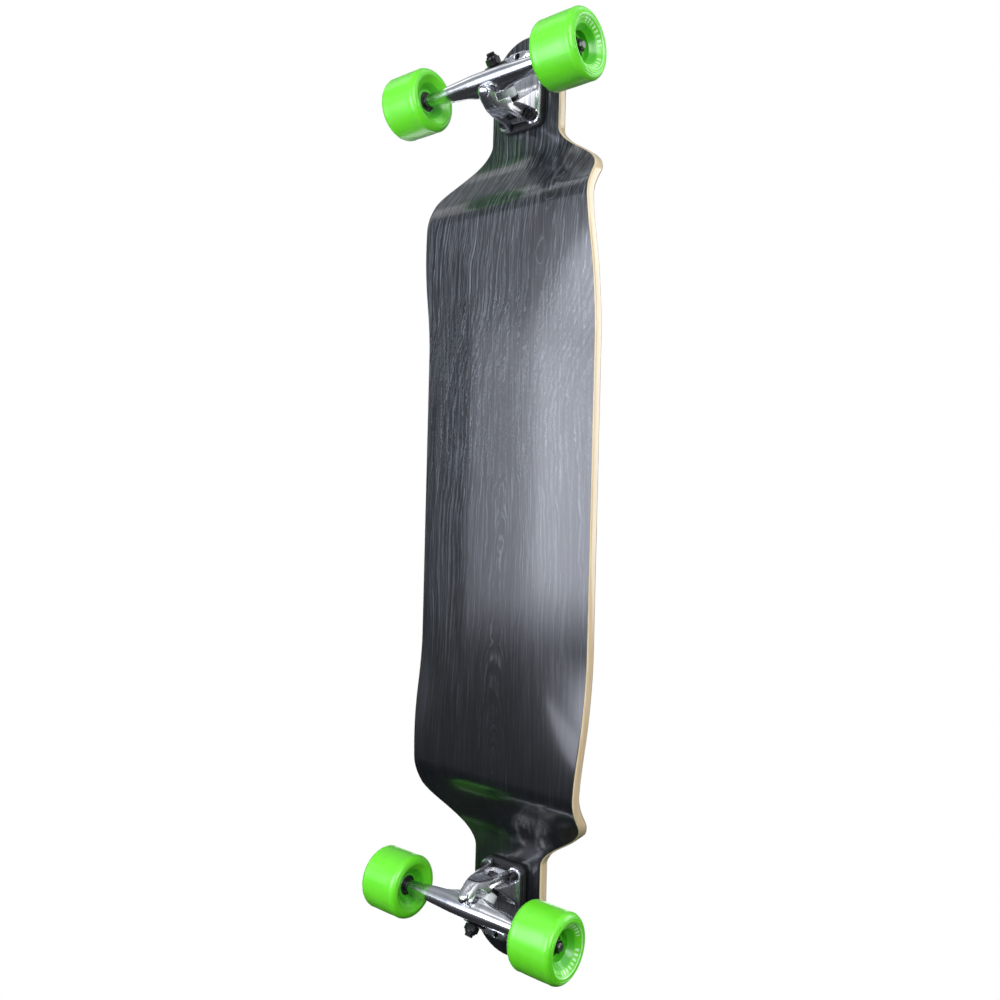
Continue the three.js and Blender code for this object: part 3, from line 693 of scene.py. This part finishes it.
def smooth_min(a, b, radius):
    """The union of two distance fields with a fillet."""
    near = np.maximum(radius - np.abs(a - b), 0.0) / radius
    return np.minimum(a, b) - near * near * radius / 4


def smooth_max(a, b, radius):
    return -smooth_min(-a, -b, radius)


def carve(field, cutter, radius):
    """The field without the cutter, with its edges rounded."""
    return smooth_max(field, -cutter, radius)


def surface_of(field, low, high, step):
    """Vertices and faces where a distance field is zero, by surface nets."""
    axes = [np.arange(a, b + step, step) for a, b in zip(low, high)]
    value = field(*np.meshgrid(*axes, indexing="ij"))
    inside = value < 0
    cells = tuple(n - 1 for n in value.shape)
    total = np.zeros(cells + (3,))
    count = np.zeros(cells)

    def window(array, start, length):
        return array[tuple(slice(s, s + n) for s, n in zip(start, length))]

    for axis in range(3):
        ahead = [0, 0, 0]
        ahead[axis] = 1
        others = [i for i in range(3) if i != axis]
        for u in (0, 1):
            for v in (0, 1):
                corner = [0, 0, 0]
                corner[others[0]], corner[others[1]] = u, v
                here = window(value, corner, cells)
                after = window(value, np.add(corner, ahead), cells)
                crossed = (here < 0) != (after < 0)
                share_along = np.where(crossed, here / np.where(crossed, here - after, 1), 0)
                for i in range(3):
                    total[..., i] += np.where(crossed, corner[i] + share_along * ahead[i], 0)
                count += crossed
    active = count > 0
    ids = np.full(cells, -1)
    ids[active] = np.arange(active.sum())
    points = (np.argwhere(active) + total[active] / count[active][:, None]) * step + np.array(low)
    quads = []
    for axis in range(3):
        u, v = [i for i in range(3) if i != axis]
        length = list(cells)
        length[u] -= 1
        length[v] -= 1
        start = [0, 0, 0]
        start[u] = start[v] = 1
        ahead = list(start)
        ahead[axis] += 1
        before, after = window(inside, start, length), window(inside, ahead, length)
        corners = []
        for du, dv in ((0, 0), (1, 0), (1, 1), (0, 1)):
            offset = [0, 0, 0]
            offset[u], offset[v] = du, dv
            corners.append(window(ids, offset, length))
        for mask, order in ((before & ~after, (0, 1, 2, 3)), (~before & after, (3, 2, 1, 0))):
            quad = np.stack([corners[i][mask] for i in order], axis=1)
            quads.append(quad if axis != 1 else quad[:, ::-1])
    for _ in range(3):
        points = onto_surface(field, points, step)
    return points, np.concatenate(quads)


def onto_surface(field, points, step):
    """Moves points along the field's slope until it is nearly zero there."""
    small = 0.05
    value = field(*points.T)
    slopes = []
    for aside in small * np.eye(3):
        slopes.append((field(*(points + aside).T) - field(*(points - aside).T)) / (2 * small))
    slope = np.stack(slopes, axis=1)
    move = slope * (value / np.maximum((slope**2).sum(1), 0.2))[:, None]
    reach = 0.35 * step
    length = np.linalg.norm(move, axis=1)
    return points - move * np.minimum(1, reach / np.maximum(length, 1e-9))[:, None]


def pin_frame(x, z):
    """Distances up the steering axis and up the kingpin from the middle of the seat ring."""
    along = (x - RING_X) * COS + (z - RING_Z) * SIN
    up = -(x - RING_X) * SIN + (z - RING_Z) * COS
    return along, up


def hanger_field(x, y, z):
    """The hanger: its axle tube, wing, neck, seat ring and the arm that ends in the pivot's nose."""
    s, h = pin_frame(x, z)
    across = np.abs(y)
    from_pin, from_axis, from_axle = np.hypot(s, y), np.hypot(y, h), np.hypot(x, z - AXLE_HEIGHT)
    reach = np.interp(across, [0, 10, 22, 44, 66, 84, 85.2, 90], [9.6, 9.6, 9.4, 8.2, 7.2, 7.0, 6.4, 6.4])
    tube = smooth_max(from_axle - reach, across - 90, 1.2)

    wing_half = 78
    top = np.interp(across, [0, 20, 50, wing_half], [7.4, 8.0, 2.2, -3.0])
    inner = np.interp(across, [0, 22, 50, wing_half], [-27.6, -27.4, -26.4, -22])
    outer = np.interp(across, [0, 20, 50, wing_half], [-12, -12.6, -17, -20])
    wing = smooth_max(smooth_max(h - top, inner - s, 5), smooth_max(s - outer, -10 - h, 3), 3)
    wing = smooth_max(wing, across - wing_half, 3)
    scoop = np.hypot(np.hypot((across - 42) / 2.6, s + 24), h - 12) - 8.5
    wing = carve(wing, scoop, 4)

    neck = smooth_max(smooth_max(across - 14.3, np.abs(h) - 3.8, 2), smooth_max(s - 3, -20 - s, 2), 2)
    ring = smooth_max(from_pin - SEAT_RING_RADIUS, np.abs(h) - 6, 0.8)
    arm = smooth_max(from_axis - 6.4, smooth_max(s + 14, -30.6 - s, 1), 1)
    nose = smooth_max(from_axis - 4.4, smooth_max(s + 20, -36.5 - s, 2.5), 2.5)
    body = smooth_min(smooth_min(tube, wing, 5), neck, 3)
    body = smooth_min(smooth_min(body, ring, 2), smooth_min(arm, nose, 1), 2.5)

    # Room for the road-side washer at rest and at both limits, then the bushing seats and bores.
    for lean in LEANS:
        c, n = math.cos(math.radians(lean)), math.sin(math.radians(lean))
        washer = np.maximum(np.hypot(s, y * c + h * n) - 14.9, h * c - y * n + 12.6)
        body = carve(body, washer, 0.8)
    seats = np.maximum(from_pin - 12.7, 4 - np.abs(h))
    body = carve(body, np.maximum(seats, np.abs(h) - 30), 0.6)
    body = carve(body, from_pin - 8, 0.6)
    return carve(body, from_axle - 4.3, 0.4)


def wedge_planes():
    """The flat sides of the wedge between the pivot's housing and the plate, from its corners."""
    corners = []
    for i in range(24):
        angle = 2 * math.pi * i / 24
        for reach, s in ((8.5, -31.7), (8.5, -38.0), (5.5, -41.0)):
            corners.append((s, reach * math.cos(angle), reach * math.sin(angle)))
    corners += [(-37, 7, 17), (-37, -7, 17)]
    points = [(RING_X + s * COS - h * SIN, y, RING_Z + s * SIN + h * COS) for s, y, h in corners]
    for px, half in ((-30, 14), (-24, 25.5), (6, 26.5), (20, 18)):
        points += [(px, half, 93), (px, -half, 93)]
    work = bmesh.new()
    for point in points:
        work.verts.new(point)
    bmesh.ops.convex_hull(work, input=work.verts)
    planes = {}
    for face in work.faces:
        if face.calc_area() > 0.05:
            n = face.normal
            d = n.dot(face.verts[0].co)
            planes[tuple(round(c, 2) for c in (*n, d))] = (*n, d)
    work.free()
    return list(planes.values())


def baseplate_field(planes):
    """The baseplate: a flat plate, the wedge down to the pivot's housing, and a rib at the end."""
    blend = 1.6
    room_half, room_floor, room_end = 9.3, 34.7, 9.5
    swing = 9.2

    def field(x, y, z):
        s, h = pin_frame(x, z)
        across = np.abs(y)
        qx, qy = np.abs(x - 10) - 34.5, across - 20.0
        outline = np.hypot(np.maximum(qx, 0), np.maximum(qy, 0)) + np.minimum(np.maximum(qx, qy), 0) - 8
        plate = smooth_max(outline, np.abs(z - PLATE_MIDDLE) - PLATE_HALF_THICKNESS, 1.6)

        sides = np.stack([nx * x + ny * y + nz * z - d for nx, ny, nz, d in planes])
        peak = sides.max(0)
        wedge = peak + np.log(np.exp((sides - peak) / blend * 2).sum(0)) * blend / 2 - 0.6
        wedge = np.maximum(wedge, z - PLATE_MIDDLE)
        wedge = carve(wedge, smooth_max(-15.6 - s, h - 23, 2), 1.5)

        # Room for the hanger's arm at rest and at both limits.
        sweeps = []
        for lean in LEANS:
            turned = math.radians(lean)
            sweeps.append(h * math.cos(turned) - y * math.sin(turned) - swing)
        swept = np.minimum.reduce(sweeps)
        wedge = carve(wedge, np.maximum(np.maximum(-31.5 - s, s + 14), swept), 1.2)
        rib = smooth_max(smooth_max(np.abs(x - 45.5) - 5.5, across - 13, 5), 85 - z, 3)
        rib = np.maximum(rib, z - PLATE_MIDDLE)
        body = smooth_min(smooth_min(plate, wedge, 5), rib, 3)

        # The hollow that the kingpin's head is in, with a floor that falls towards the pivot.
        half = room_half + np.clip((h - room_floor) * 0.262, 0, 12)
        room = smooth_max(smooth_max(across - half, room_floor - h, 3), s - room_end, 2)
        body = carve(body, room, 1.8)
        floor = room_floor + 0.61 * (s + room_end)
        beside = across - room_half - np.clip((h - floor) * 0.2, 0, 8.2)
        deep = smooth_max(smooth_max(beside, floor - h, 3), s + room_end, 2)
        body = carve(body, deep, 1.5)

        for bx, by in BOLT_PLACES:
            from_bolt = np.hypot(x - bx, y - by)
            body = carve(body, np.maximum(from_bolt - 6.4, z - (PLATE_MIDDLE - PLATE_HALF_THICKNESS)), 1.0)
            body = carve(body, from_bolt - 2.7, 0.4)
        body = carve(body, np.hypot(x - 46, y) - 3.6, 1.2)
        body = carve(body, np.maximum(np.hypot(s, y) - 5, -h), 0.5)
        cup = np.maximum(np.hypot(y, h) - 6.7, np.maximum(-38.5 - s, s + 25))
        return carve(body, cup, 0.6)

    return field


# ---- trucks ----------------------------------------------------------------

def half_turn(sign):
    """No turn for a positive sign, and half a turn about Z for a negative one."""
    return Matrix.Rotation(math.pi if sign < 0 else 0.0, 4, "Z")


def truck_matrix(facing):
    return Matrix.Translation((facing * HALF_WHEELBASE * MM, 0, 0)) @ half_turn(facing)


def pin_matrix(facing):
    """A frame whose Y axis runs up the kingpin, with its origin at the middle of the seat ring."""
    turn = Matrix((AXIS_UP, PIN_UP, Vector((0, -1, 0)))).transposed().to_4x4()
    return truck_matrix(facing) @ Matrix.Translation((RING_X * MM, 0, RING_Z * MM)) @ turn


def upright_over(truck, x, y):
    """A frame whose Y axis points up, over a point of the truck's plate."""
    over = Matrix.Translation((x * MM, y * MM, 0))
    return truck @ over @ Matrix.Rotation(math.pi / 2, 4, "X")


def wheel_matrix(facing, side):
    return Matrix.Translation((facing * HALF_WHEELBASE * MM, 0, AXLE_HEIGHT * MM)) @ half_turn(side)


def copy_at(source, name, matrix):
    """Another object with its own copy of the source's mesh."""
    obj = linked(name, source.data.copy())
    obj.matrix_world = matrix
    return obj


def hexagon(flats):
    """The radius of a hexagon at an angle about its axis."""
    def radius_at(angle):
        return flats / 2 / math.cos(angle % (math.pi / 3) - math.pi / 6)
    return radius_at


def threads(core, crest, low, high, pitch):
    """Points up a threaded rod's outside, as rings a pitch apart."""
    points = []
    turns = max(1, int((high - low) / pitch))
    for i in range(turns):
        start = low + i * pitch
        points += [(core, start), (crest, start + 0.35 * pitch), (crest, start + 0.6 * pitch)]
    return points + [(core, high)]


def nut_profile(flats, bore, low, high, collar=0.0):
    """A hexagonal nut's outline, with chamfered corners and a collar above it if it has one."""
    corner, face = flats / math.sqrt(3), 0.48 * flats
    rise = (corner - face) * 0.55
    chamfer = [(face + (corner - face) * i / 4, rise * i / 4) for i in range(5)]
    points = [(bore, low + 0.6), (bore + 0.5, low)]
    points += [(radius, low + lift) for radius, lift in chamfer]
    points += [(radius, high - lift) for radius, lift in reversed(chamfer)]
    if collar:
        inside = bore + 0.9
        points += [(0.44 * flats, high), (0.42 * flats, high + 0.7 * collar), (0.38 * flats, high + collar)]
        points += [(inside, high + collar), (inside, high + 0.4 * collar), (bore, high + 0.3 * collar)]
    else:
        points += [(bore + 0.5, high), (bore, high - 0.6)]
    return points


def turned_over(profile):
    """A profile measured down its axis instead of up."""
    return [(radius, -along) for radius, along in reversed(profile)]


def bearing_profile(start):
    """A ball bearing with its two shields set in between the rings."""
    rows = [(4.2, 0.15), (4.35, 0.0), (6.1, 0.0), (6.3, 0.2), (6.35, 0.55), (9.2, 0.55), (9.35, 0.35),
            (9.5, 0.0), (10.7, 0.0), (10.95, 0.25)]
    near = [(radius, start + depth) for radius, depth in rows]
    far = [(radius, start + BEARING_WIDTH - depth) for radius, depth in rows]
    return near + far[::-1]


def washer_profile(start):
    rows = [(4.2, 0.0), (6.1, 0.0), (6.3, 0.15), (6.3, 0.75), (6.1, 0.9), (4.2, 0.9)]
    return [(radius, start + along) for radius, along in rows]


def cross_recess(obj, top, reach, width, depth):
    """Cuts a screwdriver's cross into the top of a screw that stands along its Y axis."""
    work = bmesh.new()
    for size in ((reach, width), (width, reach)):
        for vert in bmesh.ops.create_cube(work, size=1.0)["verts"]:
            above = vert.co.y > 0
            taper = 1.0 if above else 0.55
            vert.co.x *= 2 * size[0] * MM * taper
            vert.co.z *= 2 * size[1] * MM * taper
            vert.co.y = (top + 1.0 if above else top - depth) * MM
    cut_with(obj, object_of("cutter", work))


def cut_with(obj, cutter):
    """Subtracts the cutter from the piece, then removes it."""
    modifier = obj.modifiers.new("cut", "BOOLEAN")
    modifier.operation = "DIFFERENCE"
    modifier.solver = "EXACT"
    modifier.use_self = True
    modifier.object = cutter
    bpy.context.view_layer.update()
    evaluated = obj.evaluated_get(bpy.context.evaluated_depsgraph_get())
    result = bpy.data.meshes.new_from_object(evaluated)
    obj.modifiers.clear()
    obj.data = result
    bpy.data.objects.remove(cutter)


def cast_object(name, field, low, high, step):
    points, quads = surface_of(field, low, high, step)
    return mesh_object(name, points.tolist(), quads.tolist(), 40)


def rounded_slab(name, x0, x1, half, corner, low, high, bevel):
    """A flat slab with rounded corners and softened edges, as in a moulded pad."""
    outline = []
    for cx, cy, start in ((x1, half, 0), (x0, half, 90), (x0, -half, 180), (x1, -half, 270)):
        px = cx - corner if cx > x0 else cx + corner
        py = cy - corner if cy > 0 else cy + corner
        for i in range(9):
            angle = math.radians(start + 90 * i / 8)
            outline.append((px, py, math.cos(angle), math.sin(angle)))
    levels = [(-3 * bevel, low), (0, low), (bevel * 0.3, low + bevel * 0.3), (bevel, low + bevel)]
    middle = (low + high) / 2
    levels += [(bevel, middle - 0.5), (bevel * 0.4, middle), (bevel, middle + 0.5)]
    levels += [(bevel, high - bevel), (bevel * 0.3, high - bevel * 0.3), (0, high), (-3 * bevel, high)]
    vertices = []
    for grow, z in levels:
        for px, py, dx, dy in outline:
            vertices.append((px + (corner - bevel + grow) * dx, py + (corner - bevel + grow) * dy, z))
    count = len(outline)
    faces = ring_faces(len(levels), count)
    faces.append(tuple(range(count))[::-1])
    faces.append(tuple(range((len(levels) - 1) * count, len(levels) * count)))
    return mesh_object(name, vertices, faces, 30)


# Outlines of the turned pieces, as [radius, distance up the kingpin, bolt or axle].
KINGPIN_FLATS, LOCK_NUT_FLATS, AXLE_NUT_FLATS = 14.2, 9.4, 12.7
SCREW_TOP = 116.6
KINGPIN = [(0.0, -30.0), (3.9, -30.0), *threads(4.25, 4.7, -29.6, -17.0, 1.25)[1:], (4.7, -16.5), (4.7, 35.0),
           (6.6, 35.0), (7.4, 35.4), (8.1, 36.2), (8.1, 39.6), (7.4, 40.5), (6.4, 41.0), (4.0, 41.0),
           (3.4, 40.2), (0.0, 40.2)]
DISHED_WASHER = [(5.0, -17.3), (9.0, -17.3), (11.5, -17.0), (13.4, -15.6), (14.2, -13.6), (14.1, -13.25),
                 (13.5, -13.3), (12.7, -14.7), (11.0, -15.7), (9.0, -15.6), (5.0, -15.6)]
CUP_WASHER = [(5.0, 20.7), (12.0, 20.7), (12.2, 19.4), (12.8, 19.4), (12.8, 21.8), (12.4, 22.3), (5.0, 22.3)]
BOARD_BUSHING = [(5.2, 4.3), (10.6, 4.3), (12.0, 4.9), (12.3, 6.5), (12.1, 9.0), (11.8, 12.3), (12.1, 15.6),
                 (12.2, 18.0), (11.9, 19.6), (10.6, 20.3), (5.2, 20.3)]
ROAD_BUSHING = [(5.2, -15.3), (8.8, -15.3), (9.7, -14.9), (10.2, -14.0), (11.3, -9.5), (12.2, -7.6),
                (12.3, -5.8), (11.8, -4.7), (10.6, -4.3), (5.2, -4.3)]
DECK_SCREW = [(0.0, 84.0), (1.9, 84.0), *threads(2.0, 2.4, 84.3, 99.0, 0.8)[1:], (2.4, 99.5), (2.4, 113.6),
              (4.5, 115.9), (4.6, 116.2), (4.5, 116.5), (3.0, SCREW_TOP), (0.0, SCREW_TOP)]
HALF_AXLE = [(0.0, 0.0), (4.0, 0.0), (4.0, 110.0), (4.0, 111.5), *threads(3.55, 4.0, 112.0, 124.0, 1.0),
             (3.3, 125.0), (0.0, 125.0)]


def make_sources():
    """One object of each kind, which the trucks' pieces are copied from."""
    plate_field = baseplate_field(wedge_planes())
    pin_nut = turned_over(nut_profile(KINGPIN_FLATS, 4.8, 17.7, 24.7, 2.0))
    lock_nut = turned_over(nut_profile(LOCK_NUT_FLATS, 2.5, -90.8, -86.9, 1.5))
    axle_nut = nut_profile(AXLE_NUT_FLATS, 4.1, 116.4, 121.4, 1.6)
    sources = {
        "hanger": cast_object("hanger_source", hanger_field, (-16, -93, 22), (28, 93, 78), 0.9),
        "plate": cast_object("plate_source", plate_field, (-36, -31, 20), (56, 31, 99), 0.8),
        "pad": rounded_slab("pad_source", -33.5, 53.5, 29, 9, 97.2, 102.9, 0.8),
        "pin": lathe("pin_source", KINGPIN, 72, hexagon(KINGPIN_FLATS)),
        "pin_nut": lathe("pin_nut_source", pin_nut, 72, hexagon(KINGPIN_FLATS)),
        "cup": lathe("cup_source", DISHED_WASHER, 72, None, 50),
        "high_cup": lathe("high_cup_source", CUP_WASHER, 72),
        "bolt": lathe("bolt_source", DECK_SCREW, 24),
        "lock_nut": lathe("lock_nut_source", lock_nut, 48, hexagon(LOCK_NUT_FLATS)),
        "axle": lathe("axle_source", HALF_AXLE, 32),
        "axle_nut": lathe("axle_nut_source", axle_nut, 72, hexagon(AXLE_NUT_FLATS)),
    }
    for which, washer_at, bearing_at in (("inner", 90.0, INNER_BEARING), ("outer", 115.3, OUTER_BEARING)):
        washer, bearing = washer_profile(washer_at), bearing_profile(bearing_at)
        sources[f"{which}_washer"] = lathe(f"speed_washer_{which}", washer, 40)
        sources[f"{which}_bearing"] = lathe(f"bearing_{which}", bearing, 80, None, 30)
    over_pad = [upright_over(Matrix.Identity(4), x, y) for x, y in BOLT_PLACES]
    cut_with(sources["pad"], screw_holes(over_pad))
    cross_recess(sources["bolt"], SCREW_TOP, 2.4, 0.5, 1.6)
    return sources


def make_bushings(end, on_pin, look):
    """Two bushings round the kingpin, baked in place where they stand at rest."""
    ends = (("board", BOARD_BUSHING, 20.3, 4.3), ("road", ROAD_BUSHING, -15.3, -4.3))
    for label, profile, fixed, moving in ends:
        bushing = lathe(f"{end}_{label}_bushing", profile, 64, None, 45)
        bushing.matrix_world = on_pin
        look.on(bushing)
        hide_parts(f"{end}_{label}_side_bushing")
        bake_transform(bushing)


def make_truck(sources, looks, end, facing):
    hanger_body = f"{end}_hanger"
    truck, on_pin = truck_matrix(facing), pin_matrix(facing)

    def piece(source, name, matrix, body, slot, look, *nodes):
        obj = copy_at(sources[source], f"{end}_{name}", matrix)
        looks[look].on(obj)
        place(obj, body, slot, *(f"{end}_{node}" for node in nodes))

    def black(source, name, matrix, body, *nodes):
        piece(source, name, matrix, body, "black_steel", "black", *nodes)

    piece("hanger", "hanger_casting", truck, hanger_body, "cast_aluminium", "polished", "hanger")
    piece("plate", "plate_casting", truck, "board", "cast_aluminium", "cast", "baseplate")
    piece("pad", "riser", truck, "board", "riser_rubber", "rubber", "riser_pad")
    black("pin", "kingpin_bolt", on_pin, "board", "kingpin")
    black("pin_nut", "kingpin_locknut", on_pin, "board", "kingpin_nut")
    black("cup", "dished_washer", on_pin, "board", "road_side_washer")
    black("high_cup", "cup_washer", on_pin, "board", "board_side_washer")
    make_bushings(end, on_pin, looks["bushing"])
    for i, (x, y) in enumerate(BOLT_PLACES, start=1):
        stand = upright_over(truck, x, y)
        black("bolt", f"deck_screw_{i}", stand, "board", f"mounting_bolt_{i}")
        black("lock_nut", f"deck_locknut_{i}", stand, "board", f"lock_nut_{i}")
    halves = [copy_at(sources["axle"], f"half_{side}", wheel_matrix(facing, side)) for side in (1, -1)]
    rod = join_halves(halves, f"{end}_axle_rod")
    looks["steel"].on(rod)
    place(rod, hanger_body, "axle_steel", f"{end}_axle")
    for name, side in (("left", 1), ("right", -1)):
        at = wheel_matrix(facing, side)
        wheel_body = f"{end}_{name}_wheel"
        black("axle_nut", f"{name}_axle_locknut", at, hanger_body, f"{name}_axle_nut")
        for which in ("inner", "outer"):
            black(f"{which}_washer", f"{name}_{which}_speed_washer", at, hanger_body)
            piece(f"{which}_bearing", f"{name}_{which}_race", at, wheel_body, "bearing_shield", "bearing",
                  f"{name}_{which}_bearing")


def make_trucks(looks):
    sources = make_sources()
    for end, facing in (("front", 1), ("rear", -1)):
        make_truck(sources, looks, end, facing)
    for source in sources.values():
        bpy.data.objects.remove(source)


def join_halves(halves, name):
    """One closed rod from two halves that meet at its middle."""
    work = bmesh.new()
    for half in halves:
        half.data.transform(half.matrix_world)
        work.from_mesh(half.data)
        bpy.data.objects.remove(half)
    caps = [face for face in work.faces if all(abs(vert.co.y) < 1e-6 for vert in face.verts)]
    bmesh.ops.delete(work, geom=caps, context="FACES")
    bmesh.ops.remove_doubles(work, verts=work.verts, dist=1e-6)
    obj = object_of(name, work)
    tidy_mesh(obj, 35)
    return obj


def dress_cad(looks):
    """Finishes for the CAD pieces that show as they are."""
    for end in ("front", "rear"):
        looks["rubber"].on(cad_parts[f"{end}_pivot_cup"])
        for side in ("left", "right"):
            looks["steel"].on(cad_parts[f"{end}_{side}_bearing_spacer"])


def make_looks():
    return {
        "polished": polished_aluminium("polished_aluminium", 0.15, (130, 9, 130)),
        "cast": polished_aluminium("cast_aluminium", 0.2, (9, 150, 150)),
        "black": plain_metal("black_steel", (0.022, 0.022, 0.024), 0.32, 0.6),
        "steel": plain_metal("axle_steel", (0.20, 0.20, 0.21), 0.38),
        "rubber": plain_metal("riser_rubber", (0.010, 0.010, 0.011), 0.6, 0.0),
        "bushing": pearl_urethane(),
        "bearing": plain_metal("bearing_shield", (0.03, 0.03, 0.034), 0.35, 0.4),
    }


make_stage()
make_deck()
make_wheels()
looks = make_looks()
make_trucks(looks)
dress_cad(looks)
